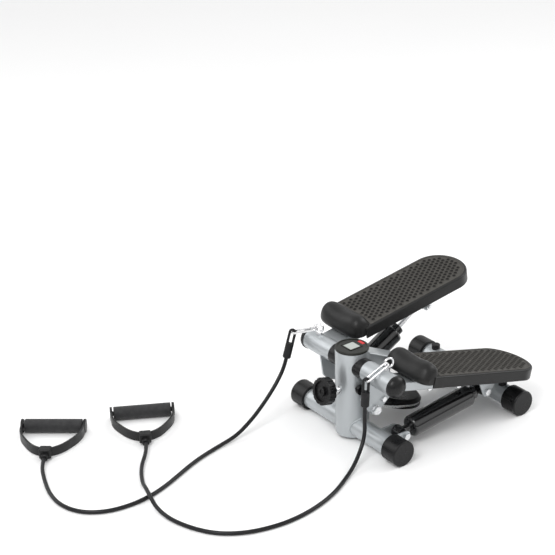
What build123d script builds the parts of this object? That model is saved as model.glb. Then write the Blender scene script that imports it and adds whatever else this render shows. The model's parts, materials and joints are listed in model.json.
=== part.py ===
"""Mini stepper with two resistance bands, in millimetres.

Base frame: +Z up, the console column at the front (-Y), the user faces -Y, +X is the user's left.
Each arm is drawn in its own frame (axle on the X axis, +Y to the rear, +Z up) for the left side,
mirrored for the right, then turned to its rest angle about the axle.
"""
from build123d import *
import math
import os

# ---- base ----
TUBE_R = 21.0            # front and rear base tubes
TUBE_WALL = 2.0
TUBE_Z = 26.5
REAR_Y = 320.0
BASE_HALF = 166.0        # middle to the outer face of an end cap
CAP_R = 27.0
CAP_LENGTH = 39.0
CAP_FACE = 6.0
CAP_GROOVES = 8

COLUMN_R = 34.0
COLUMN_WALL = 2.5
COLUMN_Y = 4.5
COLUMN_BOTTOM = 7.0
COLUMN_TOP = 192.0

SPINE_WIDTH = 50.0
SPINE_HEIGHT = 25.0
SPINE_WALL = 2.0
SPINE_SLOPE = 26.0       # degrees, falling to the rear
SPINE_POINT = (78.0, 160.0)   # a point (y, z) on the spine's top face

# ---- pivot ----
AXLE_Y = 4.0
AXLE_Z = 161.5
AXLE_R = 10.0
AXLE_HALF = 124.0
SLEEVE_R = 21.2
SLEEVE_WALL = 3.0
SLEEVE_IN = 50.3
SLEEVE_OUT = 132.0
RUNNING_FIT = 0.05

# ---- arms, in the arm's frame ----
LEFT_ANGLE = -15.2       # rest angle of each arm, degrees, rear down is negative
RIGHT_ANGLE = 8.5
SWING = LEFT_ANGLE - RIGHT_ANGLE
ARM_X = (75.0, 125.0)
ARM_TOP = 4.0
ARM_HEIGHT = 20.0
ARM_END = 345.0
ARM_WALL = 2.0

PEDAL_X = 101.0
PEDAL_HALF = 64.0
PEDAL_TOP = 27.2
PEDAL_SIDE = (72.0, 325.0)   # the straight sides run between these
PEDAL_REAR = 379.0
PEDAL_WALL = 3.0
TOE_CENTRE = (68.0, 16.0)    # (y, z) of the toe guard's widest level
TOE_DEPTH = 27.5             # front and back of that level
TOE_CREST = (47.2, 61.2)     # height at the middle, and what it tends to at the sides
TOE_BLUNT = (3.8, 3.1)       # powers that shape its rounded ends
TOE_POINTS = 16
TOE_STATIONS = (0.0, 0.3, 0.55, 0.75, 0.88, 0.95, 0.985)
MAT_THICK = 2.2
MAT_PROUD = 0.8
MAT_INSET = 5.0
MAT_FRONT = (80.0, 28.5)     # the mat stops at this ellipse about the toe guard's middle

PEDAL_BOLT_X = 104.0
PEDAL_BOLT_Y = (125.0, 205.0)
LEVER_X = (71.0, 75.0)
LEVER_TIP = (18.8, -73.1)
LEVER_SMALL = (33.5, -51.0)
EYE_X = 101.0
EYE_TILT = 2.5           # degrees back from the arm's normal
EYE_DIST = 37.5
EYE_MEAN_R = 9.0
EYE_WIRE_R = 2.25
EYE_SHANK_R = 3.0

# ---- dampers ----
DAMPER_X = 104.0
DAMPER_FOOT = (41.5, 33.5)   # (y, z) of the lower pivot, base frame
DAMPER_HEAD = (271.0, -33.0)   # (y, z) of the upper pivot, arm's frame
DAMPER_R = 22.0
DAMPER_BORE = 18.0
BODY_FROM = 25.0
BODY_TO = 185.0
GLAND_R = 13.5
GLAND_TO = 198.0
ROD_R = 5.0
PISTON_FROM_HEAD = 108.0
PIVOT_BOLT_R = 4.0
LUG_X = (87.0, 121.0)    # inner faces of each pair of lugs
LUG_THICK = 3.0
LUG_R = 10.5
HEAD_BORE = 6.4          # slack for the opened pivot

# ---- height adjuster ----
SCREW_TILT = 14.0        # degrees, falling to the rear
SCREW_FRONT = (-29.5, 110.0)   # (y, z) where the screw leaves the column's front
SCREW_R = 5.0
KNOB_R = 28.0
KNOB_THICK = 16.0
KNOB_FLUTES = 14
KNOB_AT = 29.0           # column face to the back of the knob
PULLEY_AT = (108.0, 50.0)    # (y, z) of the pulley's middle
GROOVE_R = 53.4
FLANGE_R = 60.0
CABLE_R = 2.5
CABLE_X = 56.0
CABLE_STRAIGHT = 24.0    # straight run from the pulley's groove, past the flanges
YOKE_WEB = 66.0          # pulley axis to the yoke's front web
YOKE_HALF = 15.0

# ---- bands ----
CORD_R = 4.0
FLOOR = 0.15             # the cords' lowest line above the floor
HOOK_WIRE_R = 2.25
HOOK_HALF = 6.5
HOOK_AT = 10.0           # ring centre to the middle of the hook's eye
HOOK_LENGTH = 41.0
LOOP_DROP = 25.0
LOOP_R = 5.6
LOOP_WIRE_R = 2.8
CRIMP_R = 8.4
CRIMP_LENGTH = 32.0
GATE_R = 1.7
GATE_GAP = 0.8
GATE_SPAN = (9.0, 33.0)  # opening in the hook's strand, from the eye's end
LEFT_TURN = -14.5        # how far each hook points outward from straight ahead
RIGHT_TURN = 52.0
LEFT_DROP = 31.0
RIGHT_DROP = 16.5
LEFT_LEAN = 3.0          # how far each end fitting leans forward, in line with its cord
RIGHT_LEAN = 18.0
GRIP_R = 14.0
GRIP_HALF = 59.0
HANDLE_HALF = 64.0
HANDLE_DEPTH = 106.0
STRAP_THICK = 4.0
STRAP_WIDTH = 19.0
HANDLE_RIGHT = ((-385.0, -467.0), -39.1)    # middle of the grip, turn in degrees
HANDLE_LEFT = ((-321.0, -294.0), -29.5)

parts = {}


def put(name, *solids):
    """Adds one node's solids."""
    parts[name] = [s for group in solids for s in group.solids()]


# ---- shapes used more than once ----
def bar_x(x0, x1, y, z, r):
    return Pos((x0 + x1) / 2, y, z) * Rot(0, 90, 0) * Cylinder(r, abs(x1 - x0))


def tube_x(x0, x1, y, z, outer, inner):
    return bar_x(x0, x1, y, z, outer) - bar_x(x0 - 1, x1 + 1, y, z, inner)


def bar_between(a, b, r):
    """A round bar from point a to point b."""
    a, b = Vector(*a), Vector(*b)
    return extrude(Plane(origin=a, z_dir=b - a) * Circle(r), (b - a).length)


def box(x0, x1, y0, y1, z0, z1):
    return Pos((x0 + x1) / 2, (y0 + y1) / 2, (z0 + z1) / 2) * Box(x1 - x0, y1 - y0, z1 - z0)


def plate_yz(sketch, x0, x1):
    """A sketch drawn in (y, z), made solid from x0 to x1."""
    return extrude(Plane.YZ.offset(x0) * sketch, x1 - x0)


def nut_x(x0, x1, y, z, across, bore):
    hexagon = Pos(y, z) * RegularPolygon(across / 2, 6, major_radius=False)
    return plate_yz(hexagon, x0, x1) - bar_x(x0 - 1, x1 + 1, y, z, bore)


def bolt_x(head, under_head, end, y, z, r, across):
    """A bolt along X: its head from head to under_head, then a shank to end."""
    low, high = min(head, under_head), max(head, under_head)
    shank = bar_x(under_head, end, y, z, r)
    return nut_x(low, high, y, z, across, 0.01) + bar_x(low, high, y, z, 1.0) + shank


def both_sides(solid):
    return [solid, mirror(solid, about=Plane.YZ)]


def rotate2(point, degrees):
    a = math.radians(degrees)
    y, z = point
    return y * math.cos(a) - z * math.sin(a), y * math.sin(a) + z * math.cos(a)


def arm_point(point, angle):
    y, z = rotate2(point, angle)
    return AXLE_Y + y, AXLE_Z + z


# ---- base frame ----
def end_cap():
    inner = BASE_HALF - CAP_LENGTH
    cap = bar_x(inner, BASE_HALF, 0, TUBE_Z, CAP_R)
    cap = fillet(cap.edges().filter_by(GeomType.CIRCLE).sort_by(Axis.X)[-1], 3.0)
    cap = chamfer(cap.edges().filter_by(GeomType.CIRCLE).sort_by(Axis.X)[0], 1.0)
    cap -= bar_x(inner - 1, BASE_HALF - CAP_FACE, 0, TUBE_Z, TUBE_R)
    for i in range(CAP_GROOVES):
        turn = 360 / CAP_GROOVES * (i + 0.5)
        groove = Pos((inner + BASE_HALF) / 2 - 3, 0, TUBE_Z) * Rot(turn, 0, 0)
        groove *= Pos(0, 0, CAP_R + 0.5)
        cap -= groove * Box(CAP_LENGTH - 10, 2.4, 2.4)
    return cap - box(0, 200, -60, 60, -10, 0)


def base_tube(y):
    half = BASE_HALF - CAP_FACE
    return tube_x(-half, half, y, TUBE_Z, TUBE_R, TUBE_R - TUBE_WALL)


def lower_lugs():
    hull = make_hull(
        (Pos(*DAMPER_FOOT) * Circle(LUG_R)).edges() + (Pos(13.0, 31.0) * Circle(14.0)).edges()
    )
    hull -= Pos(*DAMPER_FOOT) * Circle(PIVOT_BOLT_R)
    clear = bar_x(0, 200, 0, TUBE_Z, TUBE_R)
    inner = plate_yz(hull, LUG_X[0] - LUG_THICK, LUG_X[0]) - clear
    outer = plate_yz(hull, LUG_X[1], LUG_X[1] + LUG_THICK) - clear
    return both_sides(inner) + both_sides(outer)


def pivot_hardware(y, z):
    """Bolt, nut and two spacers through a pair of lugs."""
    inner, outer = LUG_X[0] - LUG_THICK, LUG_X[1] + LUG_THICK
    bolt = bolt_x(outer + 5.0, outer, inner - 9.0, y, z, PIVOT_BOLT_R, 13.0)
    nut = nut_x(inner - 6.5, inner, y, z, 13.0, PIVOT_BOLT_R)
    return bolt, nut


def spine():
    a = math.radians(SPINE_SLOPE)
    y, z = SPINE_POINT
    along = Pos(0, y, z) * Rot(-SPINE_SLOPE, 0, 0) * Pos(0, 0, -SPINE_HEIGHT / 2)
    front = -(y - COLUMN_Y) / math.cos(a)
    back = (REAR_Y - y) / math.cos(a)
    mid = (front + back) / 2
    bar = along * Pos(0, mid, 0) * Box(SPINE_WIDTH, back - front, SPINE_HEIGHT)
    bar = fillet(bar.edges().filter_by(Axis((0, 0, 0), (0, math.cos(a), -math.sin(a)))), 3.0)
    hollow = Box(SPINE_WIDTH - 2 * SPINE_WALL, back - front + 9, SPINE_HEIGHT - 2 * SPINE_WALL)
    bar -= along * Pos(0, mid, 0) * hollow
    bar -= Pos(0, COLUMN_Y, 100) * Cylinder(COLUMN_R, 400)
    bar -= bar_x(-60, 60, REAR_Y, TUBE_Z, TUBE_R)
    return bar.solids().sort_by(SortBy.VOLUME)[-1]


SCREW_DIR = rotate2((1, 0), -SCREW_TILT)
SCREW_NORMAL = rotate2((0, 1), -SCREW_TILT)


def screw_bar(s0, s1, r):
    """A bar on the screw's axis: s is measured from the column's front, rearward."""
    y, z = SCREW_FRONT
    dy, dz = SCREW_DIR
    return bar_between((0, y + s0 * dy, z + s0 * dz), (0, y + s1 * dy, z + s1 * dz), r)


def column():
    height = COLUMN_TOP - COLUMN_BOTTOM
    middle = Pos(0, COLUMN_Y, COLUMN_BOTTOM + height / 2)
    tube = middle * (Cylinder(COLUMN_R, height) - Cylinder(COLUMN_R - COLUMN_WALL, height + 2))
    tube -= bar_x(-60, 60, 0, TUBE_Z, TUBE_R)
    tube -= bar_x(-60, 60, AXLE_Y, AXLE_Z, AXLE_R)
    tube -= screw_bar(-20, 90, SCREW_R + 0.3)
    return tube


def hub_spacer():
    disc = tube_x(20, SLEEVE_IN - 0.3, AXLE_Y, AXLE_Z, SLEEVE_R + 0.4, AXLE_R)
    return disc - Pos(0, COLUMN_Y, AXLE_Z) * Cylinder(COLUMN_R, 80)


def rear_buffer():
    top = 56.4
    post = Pos(DAMPER_X, REAR_Y, (TUBE_Z + top) / 2) * Cylinder(9.0, top - TUBE_Z)
    post = chamfer(post.edges().sort_by(Axis.Z)[-1], 1.2)
    return post - bar_x(80, 130, REAR_Y, TUBE_Z, TUBE_R)


def counter_sensor():
    y, z = -7.0, 119.0
    body = bar_x(26, 37, y, z, 5.0) + bar_x(37, 44, y, z, 10.0) + bar_x(44, 53, y, z, 4.0)
    return body - Pos(0, COLUMN_Y, z) * Cylinder(COLUMN_R, 60)


CONSOLE_TOP = 197.0
LCD_AT = (-2.0, 1.0)
LCD_SIZE = 31.0
BUTTON_AT = (-2.0, 25.5)
BUTTON_SIZE = (16.0, 7.0)


def console_housing():
    rim = Pos(0, COLUMN_Y, (COLUMN_TOP + CONSOLE_TOP) / 2) * Cylinder(COLUMN_R, CONSOLE_TOP - COLUMN_TOP)
    rim = fillet(rim.edges().sort_by(Axis.Z)[-1], 2.0)
    plug_r = COLUMN_R - COLUMN_WALL
    plug = Pos(0, COLUMN_Y, 184.0) * Cylinder(plug_r, 16.0)
    body = rim + plug
    body -= Pos(0, COLUMN_Y, CONSOLE_TOP) * Cylinder(30.0, 2.4)
    body -= Pos(0, COLUMN_Y, 181.0) * Cylinder(plug_r - 2.0, 18.0)
    y = COLUMN_Y + LCD_AT[1]
    body -= Pos(LCD_AT[0], y, CONSOLE_TOP - 3) * Box(LCD_SIZE, LCD_SIZE, 9.0)
    y = COLUMN_Y + BUTTON_AT[1]
    gap = 0.3
    return body - Pos(BUTTON_AT[0], y, CONSOLE_TOP - 3) * Box(
        BUTTON_SIZE[0] + 2 * gap, BUTTON_SIZE[1] + 2 * gap, 14.0
    )


def lcd_screen():
    y = COLUMN_Y + LCD_AT[1]
    return Pos(LCD_AT[0], y, CONSOLE_TOP - 3.2) * Box(LCD_SIZE, LCD_SIZE, 4.0)


def console_button():
    y = COLUMN_Y + BUTTON_AT[1]
    key = Pos(BUTTON_AT[0], y, CONSOLE_TOP - 3.6) * Box(*BUTTON_SIZE, 6.4)
    return fillet(key.edges().group_by(Axis.Z)[-1], 1.0)


# ---- adjuster, pulley and cable ----
PULLEY = Pos(0, *PULLEY_AT) * Rot(-SCREW_TILT, 0, 0)


def screw_offset():
    """Height of the screw's axis above the pulley's groove, square to it."""
    dy, dz = PULLEY_AT[0] - SCREW_FRONT[0], PULLEY_AT[1] - SCREW_FRONT[1]
    return -(dy * SCREW_NORMAL[0] + dz * SCREW_NORMAL[1])


def knob():
    y, z = SCREW_FRONT
    dy, dz = SCREW_DIR
    back = KNOB_AT
    at = Plane(origin=(0, y - back * dy, z - back * dz), x_dir=(1, 0, 0), z_dir=(0, -dy, -dz))
    disc = Circle(KNOB_R)
    for i in range(KNOB_FLUTES):
        turn = math.radians(360 / KNOB_FLUTES * (i + 0.5))
        reach = KNOB_R + 1.7
        disc -= Pos(reach * math.cos(turn), reach * math.sin(turn)) * Circle(3.0)
    body = extrude(at * disc, KNOB_THICK)
    body += extrude(at * Circle(11.0), -5.0)
    body -= extrude(at.offset(KNOB_THICK - 4.0) * (Circle(21.5) - Circle(9.5)), 5.0)
    body += extrude(at.offset(KNOB_THICK) * Circle(9.5), 1.5)
    body -= extrude(at.offset(KNOB_THICK) * Circle(4.0), 2.0)
    body -= extrude(at.offset(-6.0) * Circle(SCREW_R), 6.0 + KNOB_THICK - 3.0)
    return body


def pulley_wheel():
    profile = [
        (6.05, -6.0), (FLANGE_R, -6.0), (FLANGE_R, -3.6), (GROOVE_R, -2.6), (GROOVE_R, 2.6),
        (FLANGE_R, 3.6), (FLANGE_R, 6.0), (54.0, 12.0), (20.0, 12.0), (20.0, 7.0),
        (14.0, 7.0), (14.0, 12.0), (6.05, 12.0),
    ]
    face = make_face(Plane.XZ * Polyline(*profile, close=True))
    return PULLEY * revolve(face, Axis.Z)


def pulley_yoke():
    half = YOKE_HALF
    reach = -YOKE_WEB
    top = box(-half, half, reach, 12, 13.5, 16.5) + Pos(0, 0, 15.0) * Cylinder(half, 3.0)
    low = box(-half, half, reach, 12, -10.5, -7.5) + Pos(0, 0, -9.0) * Cylinder(half, 3.0)
    web = box(-half, half, reach, reach + 3, -10.5, 16.5)
    rise = screw_offset()
    block = box(-10, 10, reach + 2, reach + 28, 16.5, rise + 9.0)
    yoke = top + low + web + block
    yoke -= Cylinder(6.0, 60)
    yoke = PULLEY * yoke
    return yoke - screw_bar(60, 130, SCREW_R + RUNNING_FIT)


def pulley_axle():
    pin = Pos(0, 0, 3.0) * Cylinder(6.0, 29.0)
    pin += Pos(0, 0, 18.0) * Cylinder(9.0, 3.0)
    pin += Pos(0, 0, -12.0) * Cylinder(9.0, 3.0)
    return PULLEY * pin


def groove_point(x, y):
    at = PULLEY * Pos(x, y, 0)
    return at.position


def cable_eye_end(angle):
    """Where the cable leaves its end fitting, on the lever's bolt."""
    y, z = arm_point(LEVER_TIP, angle)
    target = groove_point(0, 0)
    dy, dz = target.Y - y, target.Z - z
    length = math.hypot(dy, dz)
    return y, z, dy / length, dz / length


EYE_NECK = 20.0


def link_cable():
    ends = []
    for side, angle in ((1, LEFT_ANGLE), (-1, RIGHT_ANGLE)):
        y, z, dy, dz = cable_eye_end(angle)
        start = Vector(side * CABLE_X, y + EYE_NECK * dy, z + EYE_NECK * dz)
        ends.append((start, Vector(0, dy, dz)))
    (left, left_dir), (right, right_dir) = ends
    in_left, in_right = groove_point(CABLE_X, 0), groove_point(-CABLE_X, 0)
    back = groove_point(0, CABLE_X)
    along = Vector(0, *SCREW_DIR)
    lead = along * CABLE_STRAIGHT
    path = Spline(left, in_left - lead, tangents=[left_dir, along])
    path += Line(in_left - lead, in_left)
    path += ThreePointArc(in_left, back, in_right)
    path += Line(in_right, in_right - lead)
    path += Spline(in_right - lead, right, tangents=[-along, -right_dir])
    return sweep(Plane(origin=left, z_dir=left_dir) * Circle(CABLE_R), path=Wire(path.edges()))


# ---- arm parts, left side, in the arm's frame ----
def sleeve():
    tube = tube_x(SLEEVE_IN, SLEEVE_OUT, 0, 0, SLEEVE_R, SLEEVE_R - SLEEVE_WALL)
    hole = Rot(-EYE_TILT, 0, 0) * Pos(EYE_X, 0, 20) * Cylinder(EYE_SHANK_R, 40)
    return tube - hole


def sleeve_bushes():
    inner = SLEEVE_R - SLEEVE_WALL
    ends = ((SLEEVE_IN, SLEEVE_IN + 14), (108.0, 122.0))
    return [tube_x(a, b, 0, 0, inner, AXLE_R + RUNNING_FIT) for a, b in ends]


def sleeve_cap():
    lip = SLEEVE_OUT + 3.0
    dome = Pos(lip, 0, 0) * scale(Sphere(1.0), by=(15.5, SLEEVE_R + 1.2, SLEEVE_R + 1.2))
    dome = dome & box(lip, lip + 40, -40, 40, -40, 40)
    rim = bar_x(SLEEVE_OUT, lip, 0, 0, SLEEVE_R + 1.2)
    plug = tube_x(124.5, SLEEVE_OUT, 0, 0, SLEEVE_R - SLEEVE_WALL, SLEEVE_R - SLEEVE_WALL - 2.5)
    return dome + rim + plug


def arm_tube():
    low = ARM_TOP - ARM_HEIGHT
    bar = box(*ARM_X, 0, ARM_END, low, ARM_TOP)
    bar = fillet(bar.edges().filter_by(Axis.Y), 2.5)
    bar -= box(ARM_X[0] + ARM_WALL, ARM_X[1] - ARM_WALL, -5, ARM_END + 5, low + ARM_WALL, ARM_TOP - ARM_WALL)
    bar -= bar_x(0, 200, 0, 0, SLEEVE_R)
    for y in PEDAL_BOLT_Y:
        bar -= Pos(PEDAL_BOLT_X, y, 0) * Cylinder(PIVOT_BOLT_R, 60)
    return bar.solids().sort_by(SortBy.VOLUME)[-1]


def lever_plate():
    corners = [
        (-24.0, -6.0), (60.0, -6.0), (60.0, -32.0), (27.5, -79.5), (18.8, -84.0),
        (9.0, -81.0), (-18.0, -60.0), (-24.0, -50.0),
    ]
    outline = make_face(Polyline(*corners, close=True))
    outline = fillet(outline.vertices().group_by(Axis.Y)[0], 6.0)
    outline -= Pos(*LEVER_TIP) * Circle(5.0)
    outline -= Pos(*LEVER_SMALL) * Circle(3.0)
    plate = plate_yz(outline, *LEVER_X)
    return plate - bar_x(0, 200, 0, 0, SLEEVE_R)


def lever_hardware():
    y, z = LEVER_TIP
    outer, inner = LEVER_X[1], LEVER_X[0]
    big = bolt_x(outer + 8.5, outer + 2.0, 43.0, y, z, 5.0, 16.0)
    washers = [tube_x(a, a + w, y, z, 10.0, 5.0) for a, w in ((outer, 2.0), (inner - 2.0, 2.0), (59.5, 2.0))]
    nuts = [nut_x(61.5, inner - 2.0, y, z, 16.0, 5.0), nut_x(45.0, 52.5, y, z, 16.0, 5.0)]
    y, z = LEVER_SMALL
    small = bolt_x(outer + 4.5, outer, inner - 7.0, y, z, 3.0, 10.0)
    small_nut = nut_x(inner - 5.0, inner, y, z, 10.0, 3.0)
    return [big, small, small_nut] + washers + nuts


def upper_lugs():
    y, z = DAMPER_HEAD
    top = ARM_TOP - ARM_HEIGHT
    hull = make_hull(
        (Pos(y, z) * Circle(LUG_R)).edges() + (Pos(y - 4, top + 4) * Rectangle(44, 8)).edges()
    )
    hull -= Pos(y, z) * Circle(PIVOT_BOLT_R)
    hull -= Pos(y, top + 10) * Rectangle(120, 20)
    inner = plate_yz(hull, LUG_X[0] - LUG_THICK, LUG_X[0])
    outer = plate_yz(hull, LUG_X[1], LUG_X[1] + LUG_THICK)
    return [inner, outer]


def pedal_bolts():
    low = ARM_TOP - ARM_HEIGHT
    pieces = []
    for y in PEDAL_BOLT_Y:
        at = Pos(PEDAL_BOLT_X, y, 0)
        head = PEDAL_TOP - MAT_THICK + MAT_PROUD
        shank = at * Pos(0, 0, (low - 11 + head - 1.8) / 2) * Cylinder(PIVOT_BOLT_R, head - 1.8 - low + 11)
        cap = at * Pos(0, 0, head - 0.9) * Cylinder(8.0, 1.8)
        ring = at * Pos(0, 0, low - 0.8) * (Cylinder(8.5, 1.6) - Cylinder(PIVOT_BOLT_R, 3))
        hexagon = extrude(Pos(0, 0, low - 8.1) * RegularPolygon(6.5, 6, major_radius=False), 6.5)
        nut = at * (hexagon - Pos(0, 0, low) * Cylinder(PIVOT_BOLT_R, 40))
        pieces += [shank + cap, ring, nut]
    return pieces


def pedal_plan(inset):
    """The pedal's outline, seen from above, drawn in by an inset."""
    half = PEDAL_HALF - inset
    y0, y1 = PEDAL_SIDE
    sides = Pos(0, (y0 + y1) / 2) * Rectangle(2 * half, y1 - y0)
    rear = Pos(0, y1) * Ellipse(half, PEDAL_REAR - y1 - inset)
    return Pos(PEDAL_X, 0) * (sides + rear)


def toe_section(side, inset):
    """The toe guard's closed outline at one station across the pedal."""
    y, z = TOE_CENTRE
    blunt, root = TOE_BLUNT
    ends = (1 - abs(side) ** blunt) ** (1 / root)
    middle, flank = TOE_CREST
    depth = TOE_DEPTH * ends - inset
    crest = (middle + (flank - middle) * side**2) * ends - z - inset
    keel = (z - ARM_TOP) * ends - inset * 0.6
    rim = []
    for i in range(TOE_POINTS):
        turn = 2 * math.pi * i / TOE_POINTS
        rise = crest if math.sin(turn) > 0 else keel
        rim.append((y + depth * math.cos(turn), z + rise * math.sin(turn)))
    at = Plane.YZ.offset(PEDAL_X + side * (PEDAL_HALF - 0.4 - inset))
    return at * make_face(Spline(*rim, periodic=True))


def toe_guard(inset):
    half = list(TOE_STATIONS)
    stations = [-s for s in reversed(half[1:])] + half
    return loft([toe_section(s, inset) for s in stations])


def mat_plan(inset):
    y = TOE_CENTRE[0]
    flat = pedal_plan(inset) - Pos(PEDAL_X, y) * Ellipse(*MAT_FRONT)
    return flat - Pos(PEDAL_X, y - 60) * Rectangle(200, 120)


def pedal_shell():
    block = extrude(Pos(0, 0, ARM_TOP) * pedal_plan(0), PEDAL_TOP - ARM_TOP)
    block = fillet(block.edges().group_by(Axis.Z)[-1], 3.0)
    above = box(0, 250, 0, 400, ARM_TOP, 60)
    body = block + (toe_guard(0) & above)
    roof = PEDAL_TOP - PEDAL_WALL - 2.0
    y_open = TOE_CENTRE[0] - 12.0
    hollow = extrude(Pos(0, 0, ARM_TOP - 1) * pedal_plan(PEDAL_WALL), roof - ARM_TOP + 1)
    hollow += toe_guard(PEDAL_WALL)
    hollow += box(PEDAL_X - 50, PEDAL_X + 50, y_open, PEDAL_SIDE[0] + 10, 0, TOE_CENTRE[1])
    y0, y1 = PEDAL_SIDE
    for i in range(6):
        y = y0 + 36 + 44 * i
        hollow -= box(0, 250, y, y + 3, 0, roof)
    for x in (PEDAL_X - 22, PEDAL_X + 22):
        hollow -= box(x - 1.5, x + 1.5, y0 + 20, y1 + 20, 0, roof)
    for y in PEDAL_BOLT_Y:
        hollow -= Pos(PEDAL_BOLT_X, y, 10) * Cylinder(11.0, 40)
    body -= hollow
    floor = PEDAL_TOP - MAT_THICK + MAT_PROUD
    body -= extrude(Pos(0, 0, floor) * mat_plan(MAT_INSET), 10)
    for y in PEDAL_BOLT_Y:
        body -= Pos(PEDAL_BOLT_X, y, floor - 0.9) * Cylinder(8.0, 1.8)
        body -= Pos(PEDAL_BOLT_X, y, floor - 10) * Cylinder(PIVOT_BOLT_R, 40)
    return body


def pedal_mat():
    floor = PEDAL_TOP - MAT_THICK + MAT_PROUD
    return extrude(Pos(0, 0, floor) * mat_plan(MAT_INSET + 0.2), MAT_THICK)


def eye_centre():
    y, z = rotate2((0, EYE_DIST), -EYE_TILT)
    return EYE_X, y, z


def eyebolt(turn):
    """Ring, shank and nut. The ring's hole looks along X, turned about the shank."""
    ring = Rot(0, 0, turn) * Rot(0, 90, 0) * Torus(EYE_MEAN_R, EYE_WIRE_R)
    low = -EYE_DIST + SLEEVE_R - SLEEVE_WALL
    high = -EYE_MEAN_R - EYE_WIRE_R * 0.5
    shank = Pos(0, 0, (low + high) / 2) * Cylinder(EYE_SHANK_R, high - low)
    nut_low, nut_high = -EYE_DIST + SLEEVE_R, -EYE_MEAN_R - EYE_WIRE_R - 0.3
    nut = extrude(Pos(0, 0, nut_low) * RegularPolygon(5.0, 6, major_radius=False), nut_high - nut_low)
    at = Pos(*eye_centre()) * Rot(-EYE_TILT, 0, 0)
    nut = at * (nut - Cylinder(EYE_SHANK_R, 200)) - bar_x(0, 200, 0, 0, SLEEVE_R)
    bolt = at * (ring + shank)
    return [bolt, nut]


# ---- dampers, drawn along their own axis, then set between the pivots ----
def damper_place(angle):
    """The foot's place and the length from foot to head at an arm's rest angle."""
    hy, hz = arm_point(DAMPER_HEAD, angle)
    fy, fz = DAMPER_FOOT
    length = math.hypot(hy - fy, hz - fz)
    slope = math.degrees(math.atan2(hz - fz, hy - fy))
    return Pos(DAMPER_X, fy, fz) * Rot(slope, 0, 0), length


def along_y(s0, s1, r):
    return Pos(0, (s0 + s1) / 2, 0) * Rot(90, 0, 0) * Cylinder(r, s1 - s0)


def damper_body():
    body = along_y(BODY_FROM, BODY_TO, DAMPER_R)
    body = fillet(body.edges().filter_by(GeomType.CIRCLE), 7.0)
    body += along_y(8, BODY_FROM + 1, 9.0)
    body += bar_x(-11, 11, 0, 0, 13.0)
    body -= bar_x(-12, 12, 0, 0, 9.0)
    body -= along_y(BODY_FROM + 8, BODY_TO - 4, DAMPER_BORE)
    return body - along_y(BODY_TO - 6, BODY_TO + 5, ROD_R + RUNNING_FIT)


def damper_gland():
    gland = along_y(BODY_TO, GLAND_TO, GLAND_R)
    gland = fillet(gland.edges().filter_by(GeomType.CIRCLE).sort_by(Axis.Y)[-1], 2.0)
    return gland - along_y(BODY_TO - 1, GLAND_TO + 1, ROD_R + RUNNING_FIT)


def damper_bush():
    return tube_x(-11, 11, 0, 0, 9.0, PIVOT_BOLT_R + RUNNING_FIT)


def damper_rod(length):
    rod = along_y(length - PISTON_FROM_HEAD, length - 11.0, ROD_R)
    piston = along_y(length - PISTON_FROM_HEAD - 8, length - PISTON_FROM_HEAD, DAMPER_BORE - RUNNING_FIT)
    return rod + piston


def rod_end(length):
    eye = Pos(0, length, 0) * bar_x(-9, 9, 0, 0, 11.0)
    neck = along_y(length - 15.0, length - 8.0, 8.0)
    end = eye + neck
    end -= Pos(0, length, 0) * bar_x(-10, 10, 0, 0, HEAD_BORE)
    return end - along_y(length - 20.0, length - 11.0, ROD_R)


# ---- bands ----
def hook_frame(side, angle, turn, drop):
    """Ring centre and the hook's direction, in the base frame."""
    x, y, z = eye_centre()
    wy, wz = arm_point((y, z), angle)
    t, d = math.radians(turn), math.radians(drop)
    aim = Vector(side * math.sin(t) * math.cos(d), -math.cos(t) * math.cos(d), -math.sin(d))
    across = Vector(math.cos(t), side * math.sin(t), 0)
    return Vector(side * x, wy, wz), aim, across


def snap_hook(centre, aim, across):
    """A long wire loop with a gap in one strand for the gate."""
    eye = centre + aim * HOOK_AT
    end = eye + aim * HOOK_LENGTH
    side = across * HOOK_HALF
    gap0, gap1 = GATE_SPAN
    path = Line(eye - side + aim * gap0, eye - side)
    path += ThreePointArc(eye - side, eye - aim * HOOK_HALF, eye + side)
    path += Line(eye + side, end + side)
    path += ThreePointArc(end + side, end + aim * HOOK_HALF, end - side)
    path += Line(end - side, eye - side + aim * gap1)
    return sweep(Plane(origin=eye - side + aim * gap0, z_dir=-aim) * Circle(HOOK_WIRE_R), path=Wire(path.edges()))


def hook_gate(centre, aim, across):
    eye = centre + aim * HOOK_AT - across * HOOK_HALF
    gap0, gap1 = GATE_SPAN
    start, stop = eye + aim * (gap0 + GATE_GAP), eye + aim * (gap1 - GATE_GAP)
    return bar_between(tuple(start), tuple(stop), GATE_R)


def crimp_top(centre, aim):
    """The middle of the hook's end wire, where the band's loop hangs."""
    return centre + aim * (HOOK_AT + HOOK_LENGTH + HOOK_HALF)


def hang_direction(lean):
    a = math.radians(lean)
    return Vector(0, -math.sin(a), -math.cos(a))


def cord_crimp(centre, aim, across, lean):
    top = crimp_top(centre, aim)
    hang = hang_direction(lean)
    level = Vector(across.Y, -across.X, 0)
    level = (level - hang * level.dot(hang)).normalized()
    reach = level * LOOP_R
    down = hang * LOOP_DROP
    path = Line(top - reach + down, top - reach)
    path += ThreePointArc(top - reach, top - hang * LOOP_R, top + reach)
    path += Line(top + reach, top + reach + down)
    loop = sweep(Plane(origin=top - reach + down, z_dir=-hang) * Circle(LOOP_WIRE_R), path=Wire(path.edges()))
    body = bar_between(tuple(top + hang * (LOOP_DROP - 2)), tuple(crimp_foot(centre, aim, lean)), CRIMP_R)
    body = chamfer(body.edges().filter_by(GeomType.CIRCLE), 1.5)
    return loop + body


def crimp_foot(centre, aim, lean):
    return crimp_top(centre, aim) + hang_direction(lean) * (LOOP_DROP + CRIMP_LENGTH - 2)


def handle_place(spec):
    (x, y), turn = spec
    return Pos(x, y, GRIP_R + 0.3) * Rot(0, 0, turn)


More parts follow.
